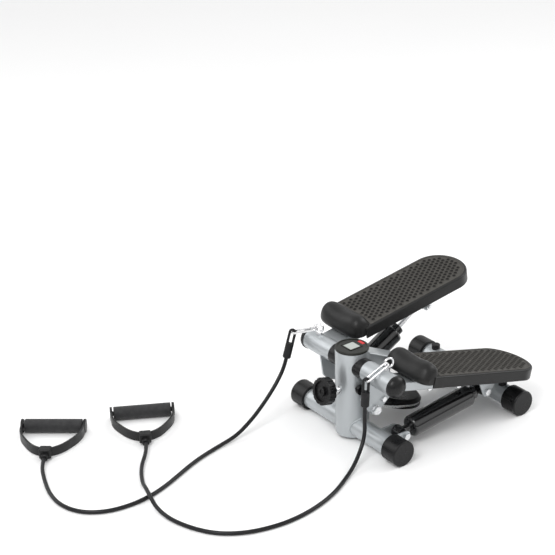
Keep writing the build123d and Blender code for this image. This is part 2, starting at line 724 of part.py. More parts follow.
def handle_grip():
    """A grip along the handle's own Y axis; the strap reaches out along +X."""
    bar = along_y(-GRIP_HALF, GRIP_HALF, GRIP_R)
    bar = fillet(bar.edges().filter_by(GeomType.CIRCLE), 2.0)
    return bar - along_y(-70, 70, 5.05)


def handle_yoke():
    half = HANDLE_HALF
    path = Line((0, half), (24, half - 1))
    path += Spline((24, half - 1), (68, 47), (HANDLE_DEPTH - 2, 9), tangents=[(1, -0.04), (0.35, -1)])
    strap = sweep(Plane(origin=(0, half, 0), z_dir=(1, -0.04, 0)) * Rectangle(STRAP_THICK, STRAP_WIDTH), path=Wire(path.edges()))
    ear = along_y(half - 2.5, half + 2.5, GRIP_R)
    ear = fillet(ear.edges().filter_by(GeomType.CIRCLE), 1.0)
    one = strap + ear
    body = one + mirror(one, about=Plane.XZ)
    body += along_y(-half, half, 5.0)
    block = Pos(HANDLE_DEPTH, 0, 0) * Box(20, 24, 21)
    block = fillet(block.edges(), 3.0)
    neck = Pos(HANDLE_DEPTH + 14, 0, -3) * Rot(0, 90, 0) * Cylinder(7.5, 12)
    return body + block + chamfer(neck.edges().filter_by(GeomType.CIRCLE), 1.2)


def cord_exit(spec):
    """Where the cord leaves the handle's neck, and its first straight run from there."""
    near = handle_place(spec) * Pos(HANDLE_DEPTH + 20, 0, -3)
    far = handle_place(spec) * Pos(HANDLE_DEPTH + 50, 0, -3)
    return near.position, far.position - near.position


def cord(name, points):
    """A tube along straight runs joined by arcs as large as the runs allow."""
    points = [Vector(*p) for p in points]
    radii = []
    for a, b, c in zip(points, points[1:], points[2:]):
        turn = math.radians((b - a).get_angle(c - b))
        radii.append(0.45 * min((b - a).length, (c - b).length) / math.tan(turn / 2))
    path = FilletPolyline(*points, radius=radii)
    start = points[1] - points[0]
    tube = sweep(Plane(origin=points[0], z_dir=start) * Circle(CORD_R), path=Wire(path.edges()))
    length = path.length
    ratio = tube.volume / (math.pi * CORD_R**2 * length)
    runs = [round((b - a).length) for a, b in zip(points, points[1:])]
    print(name, "length", round(length), "volume ratio", round(ratio, 4), "smallest radius", round(min(radii), 1))
    print("  radii", [round(r) for r in radii])
    print("  runs", runs)
    return tube


LAY = CORD_R + FLOOR
OVER = LAY + 2 * CORD_R + 0.6


def right_route(start, hang, exit_point, lead):
    """From the right arm's crimp down to the floor and round to its handle."""
    return [
        start, start + hang * 22, (-141, -79, 84), (-137, -103, 63), (-132, -131, 43),
        (-127, -158, 28), (-124, -195, 9), (-120, -240, LAY), (-110, -283, LAY), (-97, -324, LAY),
        (-78, -368, LAY), (-60, -412, LAY), (-48, -456, LAY), (-46, -502, LAY), (-56, -548, LAY),
        (-84, -585, LAY), (-128, -602, LAY), (-176, -598, LAY), (-222, -583, LAY + 1.5),
        exit_point + lead, exit_point,
    ]


def left_route(start, hang, exit_point, lead):
    """From the left arm's crimp, over the other cord, to its handle."""
    return [
        start, start + hang * 26, (92, -38, 52), (101, -57, 26), (117, -88, 8),
        (138, -126, LAY), (162, -170, LAY), (179, -222, LAY), (187, -276, LAY), (184, -328, LAY),
        (168, -382, LAY), (138, -424, LAY), (96, -450, LAY), (44, -466, LAY), (-4, -466, LAY + 1),
        (-34, -460, OVER), (-64, -450, OVER), (-100, -437, LAY), (-148, -409, LAY + 1.5),
        exit_point + lead, exit_point,
    ]


# ---- build: base ----
put("front_base_tube", base_tube(0))
put("rear_base_tube", base_tube(REAR_Y))
cap_left, cap_right = both_sides(end_cap())
to_rear = Pos(0, REAR_Y, 0)
put("base_end_caps", cap_left, cap_right, to_rear * cap_left, to_rear * cap_right)
put("column_tube", column())
put("spine_tube", spine())
put("pivot_axle", bar_x(-AXLE_HALF, AXLE_HALF, AXLE_Y, AXLE_Z, AXLE_R))
put("hub_spacers", *both_sides(hub_spacer()))
put("damper_lower_lugs", *lower_lugs())
foot_bolt, foot_nut = pivot_hardware(*DAMPER_FOOT)
put("damper_lower_bolts", *both_sides(foot_bolt), *both_sides(foot_nut))
put("rear_buffers", *both_sides(rear_buffer()))
put("counter_sensor", counter_sensor())
put("console_housing", console_housing())
put("lcd_screen", lcd_screen())
put("console_button", console_button())

# ---- build: adjuster ----
collar = screw_bar(-4.0, 8.0, 9.5) - screw_bar(-6, 12, SCREW_R + RUNNING_FIT)
put("knob_collar", collar - Pos(0, COLUMN_Y, 100) * Cylinder(COLUMN_R, 400))
put("knob_grip", knob())
put("knob_screw", screw_bar(-KNOB_AT - KNOB_THICK + 3.0, 114.0, SCREW_R))
put("pulley_yoke", pulley_yoke())
put("pulley_axle", pulley_axle())
put("pulley_wheel", pulley_wheel())
put("link_cable", link_cable())

# ---- build: arms, dampers and bands ----
yokes = []
for side, word, angle in ((1, "left", LEFT_ANGLE), (-1, "right", RIGHT_ANGLE)):
    at = Pos(0, AXLE_Y, AXLE_Z) * Rot(angle, 0, 0)
    turn, drop = (LEFT_TURN, LEFT_DROP) if side > 0 else (RIGHT_TURN, RIGHT_DROP)
    handle = HANDLE_LEFT if side > 0 else HANDLE_RIGHT

    def place(shapes):
        """Mirrors arm parts for the right side and turns them to rest."""
        group = shapes if isinstance(shapes, list) else [shapes]
        if side < 0:
            group = [mirror(s, about=Plane.YZ) for s in group]
        return [at * s for s in group]

    put("arm_sleeve_" + word, *place(sleeve()))
    put("sleeve_bushes_" + word, *place(sleeve_bushes()))
    put("sleeve_cap_" + word, *place(sleeve_cap()))
    put("arm_tube_" + word, *place(arm_tube()))
    put("lever_plate_" + word, *place(lever_plate()))
    put("damper_upper_lugs_" + word, *place(upper_lugs()))
    put("pedal_shell_" + word, *place(pedal_shell()))
    put("pedal_mat_" + word, *place(pedal_mat()))
    put("eyebolt_" + word, *place(eyebolt(turn)))

    ey, ez, dy, dz = cable_eye_end(angle)
    x = side * CABLE_X
    ring = tube_x(x - 3.5, x + 3.5, ey, ez, 9.5, 5.0)
    neck = bar_between((x, ey + 8 * dy, ez + 8 * dz), (x, ey + EYE_NECK * dy, ez + EYE_NECK * dz), 3.4)
    head_bolt, head_nut = pivot_hardware(*DAMPER_HEAD)
    hy, hz = DAMPER_HEAD
    spacers = [tube_x(a, b, hy, hz, 7.0, PIVOT_BOLT_R) for a, b in ((87.0, 94.4), (113.6, 121.0))]
    steel = place([head_bolt, head_nut] + spacers + lever_hardware() + pedal_bolts())
    put("arm_hardware_" + word, *steel, ring + neck)

    foot, length = damper_place(angle)
    damper = {
        "damper_body_": [damper_body(), damper_gland()],
        "damper_bush_": [damper_bush()],
        "damper_rod_": [damper_rod(length)],
        "rod_end_": [rod_end(length)],
    }
    for stem, shapes in damper.items():
        shapes = [foot * s for s in shapes]
        if side < 0:
            shapes = [mirror(s, about=Plane.YZ) for s in shapes]
        put(stem + word, *shapes)

    centre, aim, across = hook_frame(side, angle, turn, drop)
    put("snap_hook_" + word, snap_hook(centre, aim, across))
    put("hook_gate_" + word, hook_gate(centre, aim, across))
    lean = LEFT_LEAN if side > 0 else RIGHT_LEAN
    put("cord_crimp_" + word, cord_crimp(centre, aim, across, lean))
    route = left_route if side > 0 else right_route
    points = route(crimp_foot(centre, aim, lean), hang_direction(lean), *cord_exit(handle))
    put("band_cord_" + word, cord("band_cord_" + word, points))
    put("handle_grip_" + word, handle_place(handle) * handle_grip())
    yokes.append(handle_place(handle) * handle_yoke())
put("handle_yokes", *yokes)

# ---- origin: middle of the base of everything but the free cords ----
CORDS = ("band_cord_left", "band_cord_right")
fixed = Compound([s for name, group in parts.items() if name not in CORDS for s in group])
bounds = fixed.bounding_box()
low, high = bounds.min, bounds.max
SHIFT = Vector(-(low.X + high.X) / 2, -(low.Y + high.Y) / 2, -low.Z)

os.makedirs("parts", exist_ok=True)
for name, group in parts.items():
    moved = [Pos(*SHIFT) * s for s in group]
    whole = moved[0] if len(moved) == 1 else Compound(moved)
    export_step(whole, os.path.join("parts", name + ".step"))

# ---- places that the joints and mounts use, in metres ----
def report(label, point):
    p = Vector(*point) + SHIFT
    print(label, [round(v / 1000, 5) for v in (p.X, p.Y, p.Z)])


print("nodes", len(parts), "size", high - low, "shift", SHIFT)
report("axle", (0, AXLE_Y, AXLE_Z))
for side, word, angle in ((1, "left", LEFT_ANGLE), (-1, "right", RIGHT_ANGLE)):
    foot, length = damper_place(angle)
    direction = rotate2((1, 0), math.degrees(math.atan2(
        arm_point(DAMPER_HEAD, angle)[1] - DAMPER_FOOT[1], arm_point(DAMPER_HEAD, angle)[0] - DAMPER_FOOT[0]
    )))
    report("damper foot " + word, (side * DAMPER_X, *DAMPER_FOOT))
    report("damper head " + word, (side * DAMPER_X, *arm_point(DAMPER_HEAD, angle)))
    print("damper axis", word, [0, round(direction[0], 6), round(direction[1], 6)], "length", round(length, 2))
    turn, drop = (LEFT_TURN, LEFT_DROP) if side > 0 else (RIGHT_TURN, RIGHT_DROP)
    centre, aim, across = hook_frame(side, angle, turn, drop)
    hinge = centre + aim * (HOOK_AT + GATE_SPAN[1] - GATE_GAP) - across * HOOK_HALF
    report("gate hinge " + word, tuple(hinge))
    normal = aim.cross(across)
    print("gate axis", word, [round(v, 6) for v in (normal.X, normal.Y, normal.Z)])
    handle = HANDLE_LEFT if side > 0 else HANDLE_RIGHT
    report("grip " + word, tuple(handle_place(handle).position))
    report("eye ring " + word, tuple(centre))
    tilt = math.radians(angle - EYE_TILT)
    spin = math.radians(turn)
    hinge = (math.cos(spin), side * math.sin(spin) * math.cos(tilt), side * math.sin(spin) * math.sin(tilt))
    print("hook swing axis", word, [round(v, 5) for v in hinge])
print("screw axis", [0, round(SCREW_DIR[0], 6), round(SCREW_DIR[1], 6)])
report("screw front", (0, *SCREW_FRONT))
report("pulley", (0, *PULLEY_AT))
report("button", (BUTTON_AT[0], COLUMN_Y + BUTTON_AT[1], CONSOLE_TOP))
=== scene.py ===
"""Looks of the mini stepper: materials, treads, cords, welds, floor, light and camera."""
import json
import math
import random

import bmesh
import bpy
from mathutils import Matrix, Vector, noise


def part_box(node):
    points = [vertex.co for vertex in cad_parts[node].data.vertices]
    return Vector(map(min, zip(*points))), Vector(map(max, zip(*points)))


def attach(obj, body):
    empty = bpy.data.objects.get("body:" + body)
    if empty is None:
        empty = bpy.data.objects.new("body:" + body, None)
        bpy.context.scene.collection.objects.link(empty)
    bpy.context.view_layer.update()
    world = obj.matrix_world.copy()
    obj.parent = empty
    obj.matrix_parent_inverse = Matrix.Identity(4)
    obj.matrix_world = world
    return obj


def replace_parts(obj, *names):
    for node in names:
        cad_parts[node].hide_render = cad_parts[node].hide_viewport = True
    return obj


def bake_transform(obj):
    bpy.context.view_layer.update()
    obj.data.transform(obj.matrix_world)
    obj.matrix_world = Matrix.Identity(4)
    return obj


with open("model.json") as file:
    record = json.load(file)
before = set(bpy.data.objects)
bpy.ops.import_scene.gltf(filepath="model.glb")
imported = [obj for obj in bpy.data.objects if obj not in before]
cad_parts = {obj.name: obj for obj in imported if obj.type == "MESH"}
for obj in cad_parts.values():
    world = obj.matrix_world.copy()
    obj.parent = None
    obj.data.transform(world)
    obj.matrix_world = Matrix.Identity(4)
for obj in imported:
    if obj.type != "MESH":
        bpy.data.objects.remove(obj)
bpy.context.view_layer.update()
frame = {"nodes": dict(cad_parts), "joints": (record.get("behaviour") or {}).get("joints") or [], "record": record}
random.seed(7)

MM = 0.001
SIDES = (("left", 1, -15.2), ("right", -1, 8.5))   # name, side of the middle, the arm's rest angle
JOINTS = {j["name"]: j for j in frame["joints"]}
AXLE = Vector(JOINTS["left_arm"]["pos_m"])
AXLE_Y = 4.0             # the axle's y from part.py's own origin
ORIGIN = Vector((AXLE.x, AXLE.y - AXLE_Y * MM, 0))  # that origin: middle of the front base tube


# ---------- materials ----------
class Material:
    """A principled shader with short ways to add noise, colour variation and bumps."""

    def __init__(self, name, colour, roughness, metallic=0.0):
        self.material = bpy.data.materials.new(name)
        self.material.use_nodes = True
        self.tree = self.material.node_tree
        self.shader = self.tree.nodes["Principled BSDF"]
        self.coords = self.tree.nodes.new("ShaderNodeTexCoord")
        self.colour = colour
        self.bump_end = None
        self.set("Base Color", (*colour, 1))
        self.set("Roughness", roughness)
        self.set("Metallic", metallic)

    def set(self, socket, value):
        self.shader.inputs[socket].default_value = value

    def link(self, a, b):
        self.tree.links.new(a, b)

    def noise(self, scale, detail=3.0, stretch=(1, 1, 1)):
        place = self.tree.nodes.new("ShaderNodeMapping")
        place.inputs["Scale"].default_value = stretch
        self.link(self.coords.outputs["Object"], place.inputs["Vector"])
        node = self.tree.nodes.new("ShaderNodeTexNoise")
        node.inputs["Scale"].default_value = scale
        node.inputs["Detail"].default_value = detail
        self.link(place.outputs["Vector"], node.inputs["Vector"])
        return node.outputs["Fac"]

    def cells(self, scale):
        node = self.tree.nodes.new("ShaderNodeTexVoronoi")
        node.inputs["Scale"].default_value = scale
        self.link(self.coords.outputs["Object"], node.inputs["Vector"])
        return node.outputs["Distance"]

    def remap(self, value, low, high, start=0.3, end=0.7):
        node = self.tree.nodes.new("ShaderNodeMapRange")
        node.inputs["From Min"].default_value = start
        node.inputs["From Max"].default_value = end
        node.inputs["To Min"].default_value = low
        node.inputs["To Max"].default_value = high
        self.link(value, node.inputs["Value"])
        return node.outputs["Result"]

    def tint(self, value, dark, light):
        """Base colour runs from dark to light times the plain colour as value goes from 0 to 1."""
        ramp = self.tree.nodes.new("ShaderNodeValToRGB")
        for element, share in zip(ramp.color_ramp.elements, (dark, light)):
            element.color = (*[c * share for c in self.colour], 1)
        self.link(value, ramp.inputs["Fac"])
        self.link(ramp.outputs["Color"], self.shader.inputs["Base Color"])
        return ramp

    def wear(self, colour, scale, start, end):
        """Patches of another colour over the base colour, such as dust or rubbed paint."""
        mix = self.tree.nodes.new("ShaderNodeMix")
        mix.data_type = "RGBA"
        socket = self.shader.inputs["Base Color"]
        if socket.is_linked:
            self.link(socket.links[0].from_socket, mix.inputs["A"])
        else:
            mix.inputs["A"].default_value = (*self.colour, 1)
        mix.inputs["B"].default_value = (*colour, 1)
        self.link(self.remap(self.noise(scale, 8.0), 0, 1, start, end), mix.inputs["Factor"])
        self.link(mix.outputs["Result"], socket)

    def rough(self, value, low, high):
        self.link(self.remap(value, low, high), self.shader.inputs["Roughness"])

    def bump(self, height, distance, strength=1.0):
        """Adds a bump of so many millimetres on top of those before it."""
        node = self.tree.nodes.new("ShaderNodeBump")
        node.inputs["Strength"].default_value = strength
        node.inputs["Distance"].default_value = distance * MM
        self.link(height, node.inputs["Height"])
        if self.bump_end:
            self.link(self.bump_end, node.inputs["Normal"])
        self.bump_end = node.outputs["Normal"]
        self.link(self.bump_end, self.shader.inputs["Normal"])


def paint():
    m = Material("frame_paint", (0.45, 0.475, 0.49), 0.36, 0.6)
    m.tint(m.noise(14, 4), 0.92, 1.06)
    m.wear((0.36, 0.38, 0.39), 60, 0.72, 0.90)
    m.rough(m.noise(45, 5), 0.32, 0.42)
    m.set("Coat Weight", 0.25)
    m.set("Coat Roughness", 0.18)
    m.bump(m.noise(420, 2), 0.05)
    m.bump(m.noise(1900, 2), 0.02)
    return m


def plastic(name, colour, roughness, grain=0.05):
    m = Material(name, colour, roughness)
    m.tint(m.noise(25, 5), 0.85, 1.2)
    m.set("Specular IOR Level", 0.28)
    m.wear([min(1, c * 1.8 + 0.004) for c in colour], 90, 0.64, 0.82)
    m.rough(m.noise(60, 5), roughness - 0.06, roughness + 0.08)
    m.bump(m.cells(1500), grain)
    m.bump(m.noise(300, 3), 0.04)
    return m


def rubber(name, colour, roughness, grain=0.06):
    m = Material(name, colour, roughness)
    m.tint(m.noise(40, 6), 0.8, 1.25)
    m.set("Specular IOR Level", 0.26)
    m.wear([c * 1.5 + 0.005 for c in colour], 70, 0.6, 0.8)
    m.rough(m.noise(90, 4), roughness - 0.05, roughness + 0.08)
    m.bump(m.noise(1300, 3), grain)
    return m


def foam():
    m = Material("grip_foam", (0.014, 0.014, 0.015), 0.70)
    m.tint(m.noise(80, 6), 0.75, 1.35)
    m.rough(m.noise(120, 4), 0.62, 0.82)
    m.bump(m.cells(900), 0.16)
    m.bump(m.noise(260, 4), 0.12)
    m.set("Sheen Weight", 0.12)
    m.set("Sheen Roughness", 0.5)
    return m


def plated(name, colour, roughness, brushed):
    m = Material(name, colour, roughness, 1.0)
    m.tint(m.noise(70, 5), 0.88, 1.05)
    m.wear([c * 0.55 for c in colour], 160, 0.68, 0.85)
    m.rough(m.noise(240, 4), roughness * 0.7, roughness * 1.5)
    m.bump(m.noise(900, 3, brushed), 0.015)
    return m


def gloss_black():
    m = Material("damper_black", (0.006, 0.006, 0.0065), 0.16)
    m.tint(m.noise(30, 4), 0.8, 1.4)
    m.wear((0.05, 0.05, 0.05), 200, 0.70, 0.86)
    m.rough(m.noise(50, 6), 0.11, 0.24)
    m.set("Coat Weight", 0.6)
    m.set("Coat Roughness", 0.08)
    m.bump(m.noise(350, 2), 0.03)
    return m


def display():
    m = Material("lcd_panel", (0.36, 0.39, 0.36), 0.22)
    m.tint(m.noise(200, 3), 0.93, 1.04)
    m.rough(m.noise(150, 3), 0.16, 0.26)
    m.set("Coat Weight", 0.8)
    m.set("Coat Roughness", 0.05)
    m.bump(m.noise(500, 2), 0.01)
    return m


def button_plastic():
    m = Material("button_red", (0.55, 0.018, 0.02), 0.34)
    m.tint(m.noise(150, 4), 0.85, 1.1)
    m.rough(m.noise(200, 4), 0.28, 0.42)
    m.bump(m.noise(900, 2), 0.02)
    return m


def print_ink():
    m = Material("print_ink", (0.62, 0.62, 0.60), 0.5)
    m.tint(m.noise(900, 4), 0.8, 1.05)
    m.bump(m.noise(1500, 2), 0.01)
    return m


def cable_coating():
    m = Material("cable_coat", (0.62, 0.63, 0.63), 0.26, 0.3)
    m.tint(m.noise(300, 4), 0.75, 1.15)
    m.rough(m.noise(300, 3), 0.2, 0.36)
    m.set("Coat Weight", 0.7)
    m.set("Coat Roughness", 0.12)
    m.bump(m.noise(700, 2), 0.08)
    return m


MATERIALS = {
    "frame_paint": paint(),
    "black_plastic": plastic("black_plastic", (0.006, 0.006, 0.0065), 0.30),
    "console_plastic": plastic("console_plastic", (0.014, 0.015, 0.012), 0.36),
    "lcd_panel": display(),
    "button_red": button_plastic(),
    "zinc_steel": plated("zinc_steel", (0.82, 0.83, 0.84), 0.22, (1, 1, 1)),
    "chrome": plated("chrome", (0.84, 0.84, 0.85), 0.09, (1, 1, 1)),
    "damper_black": gloss_black(),
    "pedal_plastic": plastic("pedal_plastic", (0.0095, 0.0095, 0.0095), 0.38, 0.05),
    "pedal_mat": rubber("pedal_mat", (0.050, 0.047, 0.042), 0.50, 0.08),
    "rubber_black": rubber("rubber_black", (0.010, 0.010, 0.011), 0.5),
    "band_rubber": rubber("band_rubber", (0.008, 0.008, 0.009), 0.34, 0.03),
    "grip_foam": foam(),
    "handle_plastic": plastic("handle_plastic", (0.008, 0.008, 0.0085), 0.40, 0.09),
    "nylon_white": plastic("nylon_white", (0.72, 0.71, 0.67), 0.4),
    "cable_coat": cable_coating(),
}
# Near-black material for the sunk middles of the tread's cups: painted shade standing in for the shadow in those
# hollows, not the mat's own colour.
TREAD_PIT_SHADE = rubber("tread_pit_shade", (0.002, 0.002, 0.002), 0.8, 0.03)
for subpart in frame["record"]["subparts"]:
    mesh = frame["nodes"][subpart["node"]].data
    mesh.materials.clear()
    mesh.materials.append(MATERIALS[subpart["material_slot"]].material)


# ---------- pieces ----------
def add_mesh(name, verts, faces, body, slot, smooth=True, material=None):
    """A mesh piece with points in the row frame, in metres, that rides on a body."""
    mesh = bpy.data.meshes.new(name)
    mesh.from_pydata([tuple(v) for v in verts], [], faces)
    mesh.validate()
    piece = bpy.data.objects.new(name, mesh)
    bpy.context.scene.collection.objects.link(piece)
    work = bmesh.new()
    work.from_mesh(mesh)
    bmesh.ops.recalc_face_normals(work, faces=work.faces)
    work.to_mesh(mesh)
    work.free()
    if smooth:
        mesh.shade_smooth()
    mesh.materials.append((material or MATERIALS[slot]).material)
    if body:
        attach(piece, body)
    return piece


def arm_frame(side, angle):
    """From an arm's own millimetres to the row frame; the right arm is the left one mirrored."""
    place = Matrix.Translation(AXLE) @ Matrix.Rotation(math.radians(angle), 4, "X")
    return place @ Matrix.Diagonal((side * MM, MM, MM, 1))


# ---------- treads ----------
PEDAL_X = 101.0
PEDAL_HALF = 64.0
SIDE_END, PEDAL_REAR = 325.0, 379.0
TOE_Y = 68.0
MAT_FRONT = (80.0, 28.5)
MAT_INSET = 5.25
MAT_LOW, MAT_TOP = 25.8, 28.0
BORDER = 3.2             # width of the raised border
FLOOR_DROP = 0.8         # the patterned floor lies this much under the border
EDGE_ROUND = 0.35        # at the border's outer edge
BORDER_SLOPE = 0.3       # its inner edge slopes down over this width
CUP_PROFILE = ((4.9, -0.1), (4.65, 0.7), (4.3, 1.0), (3.95, 0.85), (3.7, 0.1))   # (radius, height)
CUP_PITCH = (11.8, 9.2)
CUP_SIDES = 16
CUP_DEPTH = 0.86         # a cup is an ellipse, this much shorter along the pedal
CUP_GAP = 0.4            # least room between a cup and the border
HALF_COLUMNS = 8         # columns of cups tried on each side of the middle
FRONT_STEPS, SIDE_STEPS, REAR_STEPS = 48, 40, 64


def tread_outline(inset):
    """The mat's edge as (x from the pedal's middle, y), drawn in by inset."""
    half = PEDAL_HALF - inset
    depth = PEDAL_REAR - SIDE_END - inset
    a, b = MAT_FRONT[0] + inset - MAT_INSET, MAT_FRONT[1] + inset - MAT_INSET
    corner = math.acos(half / a) if half < a else 0
    points = []
    for i in range(FRONT_STEPS + 1):
        t = corner + (math.pi - 2 * corner) * i / FRONT_STEPS
        points.append((a * math.cos(t), TOE_Y + b * math.sin(t)))
    front_y = points[-1][1]
    for i in range(1, SIDE_STEPS):
        points.append((-half, front_y + (SIDE_END - front_y) * i / SIDE_STEPS))
    for i in range(REAR_STEPS + 1):
        t = math.pi - math.pi * i / REAR_STEPS
        points.append((half * math.cos(t), SIDE_END + depth * math.sin(t)))
    for i in range(1, SIDE_STEPS):
        points.append((half, SIDE_END - (SIDE_END - front_y) * i / SIDE_STEPS))
    return points


def inside_tread(x, y, margin):
    """True where a point is on the mat and at least margin from its edge."""
    a, b = MAT_FRONT[0] + margin, MAT_FRONT[1] + margin
    half = PEDAL_HALF - MAT_INSET - margin
    if abs(x) > half or y < TOE_Y:
        return False
    if (x / a) ** 2 + ((y - TOE_Y) / b) ** 2 < 1:
        return False
    depth = PEDAL_REAR - SIDE_END - MAT_INSET - margin
    return y < SIDE_END or (x / half) ** 2 + ((y - SIDE_END) / depth) ** 2 < 1


def tread(word, side, angle):
    """A pedal's mat: a border round a floor with staggered rows of cups, their sunk middles painted near-black as
    shade.
    """
    place = arm_frame(side, angle)
    floor = MAT_TOP - FLOOR_DROP
    rings = [
        (MAT_INSET, MAT_LOW), (MAT_INSET, MAT_TOP - EDGE_ROUND), (MAT_INSET + EDGE_ROUND, MAT_TOP),
        (MAT_INSET + BORDER - BORDER_SLOPE, MAT_TOP), (MAT_INSET + BORDER, floor),
    ]
    verts, faces = [], []
    for inset, z in rings:
        verts += [place @ Vector((PEDAL_X + x, y, z)) for x, y in tread_outline(inset)]
    count = len(verts) // len(rings)
    for ring in range(len(rings) - 1):
        for i in range(count):
            j = (i + 1) % count
            faces.append((ring * count + i, ring * count + j, (ring + 1) * count + j, (ring + 1) * count + i))
    faces.append(tuple(range((len(rings) - 1) * count, len(rings) * count)))
    faces.append(tuple(reversed(range(count))))
    shaded_pits = []
    row, y = 0, TOE_Y
    while y < PEDAL_REAR:
        shift = 0.5 * CUP_PITCH[0] * (row % 2)
        for column in range(-HALF_COLUMNS, HALF_COLUMNS + 1):
            x = column * CUP_PITCH[0] + shift
            if inside_tread(x, y, BORDER + CUP_PROFILE[0][0] + CUP_GAP):
                shaded_pits.append(add_cup(verts, faces, place, PEDAL_X + x, y, floor))
        row += 1
        y += CUP_PITCH[1]
    piece = add_mesh("tread_" + word, verts, faces, "arm_" + word, "pedal_mat", smooth=False)
    # The cups' sunk middles get the near-black material: painted shade.
    piece.data.materials.append(TREAD_PIT_SHADE.material)
    for face in shaded_pits:
        piece.data.polygons[face].material_index = 1
    edge_smooth(piece)
    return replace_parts(piece, "pedal_mat_" + word)


def add_cup(verts, faces, place, x, y, floor):
    """A low raised ring with a sunk middle; gives the number of the middle's face, which gets the near-black
    painted shade.
    """
    start = len(verts)
    for r, up in CUP_PROFILE:
        for i in range(CUP_SIDES):
            t = 2 * math.pi * i / CUP_SIDES
            verts.append(place @ Vector((x + r * math.cos(t), y + CUP_DEPTH * r * math.sin(t), floor + up)))
    for ring in range(len(CUP_PROFILE) - 1):
        for i in range(CUP_SIDES):
            j = (i + 1) % CUP_SIDES
            a, b = start + ring * CUP_SIDES, start + (ring + 1) * CUP_SIDES
            faces.append((a + i, a + j, b + j, b + i))
    last = start + (len(CUP_PROFILE) - 1) * CUP_SIDES
    faces.append(tuple(reversed(range(start, start + CUP_SIDES))))
    faces.append(tuple(range(last, last + CUP_SIDES)))
    return len(faces) - 1


def edge_smooth(piece, angle=40):
    """Smooth shading with sharp edges kept."""
    mesh = piece.data
    mesh.shade_smooth()
    mesh.set_sharp_from_angle(angle=math.radians(angle))


# ---------- free cords ----------
CORD_R = 4.0
LAY = CORD_R + 0.15                # height of a cord's middle on the floor
OVER = LAY + 2 * CORD_R + 0.6      # and where it crosses over the other cord


def tube(name, line, radius, body, slot, sides=20):
    """A closed tube along a list of points, carried without twist."""
    verts, faces = [], []
    tangent = (line[1] - line[0]).normalized()
    normal = tangent.orthogonal().normalized()
    for i, point in enumerate(line):
        ahead = line[min(i + 1, len(line) - 1)] - line[max(i - 1, 0)]
        ahead.normalize()
        normal = (tangent.rotation_difference(ahead) @ normal).normalized()
        tangent = ahead
        across = tangent.cross(normal)
        for k in range(sides):
            t = 2 * math.pi * k / sides
            verts.append(point + (normal * math.cos(t) + across * math.sin(t)) * radius)
    for i in range(len(line) - 1):
        for k in range(sides):
            a, b = i * sides + k, i * sides + (k + 1) % sides
            faces.append((a, b, b + sides, a + sides))
    faces.append(tuple(range(sides)))
    faces.append(tuple(range((len(line) - 1) * sides, len(line) * sides)))
    piece = add_mesh(name, verts, faces, body, slot, smooth=False)
    edge_smooth(piece, 50)
    return piece


def spline_line(points, resolution=16):
    """Points along a smooth NURBS line whose control points are the route's."""
    curve = bpy.data.curves.new("route", "CURVE")
    curve.dimensions = "3D"
    spline = curve.splines.new("NURBS")
    spline.points.add(len(points) - 1)
    for knot, point in zip(spline.points, points):
        knot.co = (*point, 1)
    spline.order_u = 3
    spline.use_endpoint_u = True
    spline.resolution_u = resolution
    holder = bpy.data.objects.new("route", curve)
    line_mesh = bpy.data.meshes.new_from_object(holder)
    line = [v.co.copy() for v in line_mesh.vertices]
    bpy.data.meshes.remove(line_mesh)
    bpy.data.objects.remove(holder)
    bpy.data.curves.remove(curve)
    return line


def to_row(points):
    """A route in part.py's own millimetres, as points in the row frame."""
    return [ORIGIN + Vector(p) * MM for p in points]


GRIP_Z = 14.3
CORD_DROP = 3.0          # the cord leaves a handle this much below the grip's middle
HANDLE_EXIT = 126.0      # grip's middle to the end of the handle's neck
NECK_RUN = 30.0          # a cord's last stretch, in line with its handle
HANDLES = {"left": ((-321.0, -294.0), -29.5), "right": ((-385.0, -467.0), -39.1)}


def handle_point(word, along, z=GRIP_Z - CORD_DROP, across=0.0):
    """A point on a handle: along its middle line from the grip, and across it."""
    (x, y), turn = HANDLES[word]
    c, s = math.cos(math.radians(turn)), math.sin(math.radians(turn))
    return (x + along * c - across * s, y + along * s + across * c, z)


EYE_DIST, EYE_TILT = 37.5, 2.5
HOOK_REACH = 57.5        # ring's middle to the hook's far wire
CRIMP_REACH = 55.0       # that wire to the end fitting's foot
HOOKS = {"left": (-14.5, 31.0, 3.0), "right": (52.0, 16.5, 18.0)}   # turn, drop and lean, degrees


def crimp_foot(word, side, angle):
    """The foot of a cord's end fitting and the way it hangs, in part.py's own millimetres."""
    turn, drop, lean = (math.radians(v) for v in HOOKS[word])
    tilt = math.radians(EYE_TILT)
    ring = arm_frame(side, angle) @ Vector((PEDAL_X, EYE_DIST * math.sin(tilt), EYE_DIST * math.cos(tilt)))
    ring = (ring - ORIGIN) / MM
    aim = Vector((side * math.sin(turn) * math.cos(drop), -math.cos(turn) * math.cos(drop), -math.sin(drop)))
    hang = Vector((0, -math.sin(lean), -math.cos(lean)))
    return ring + aim * HOOK_REACH + hang * CRIMP_REACH, hang


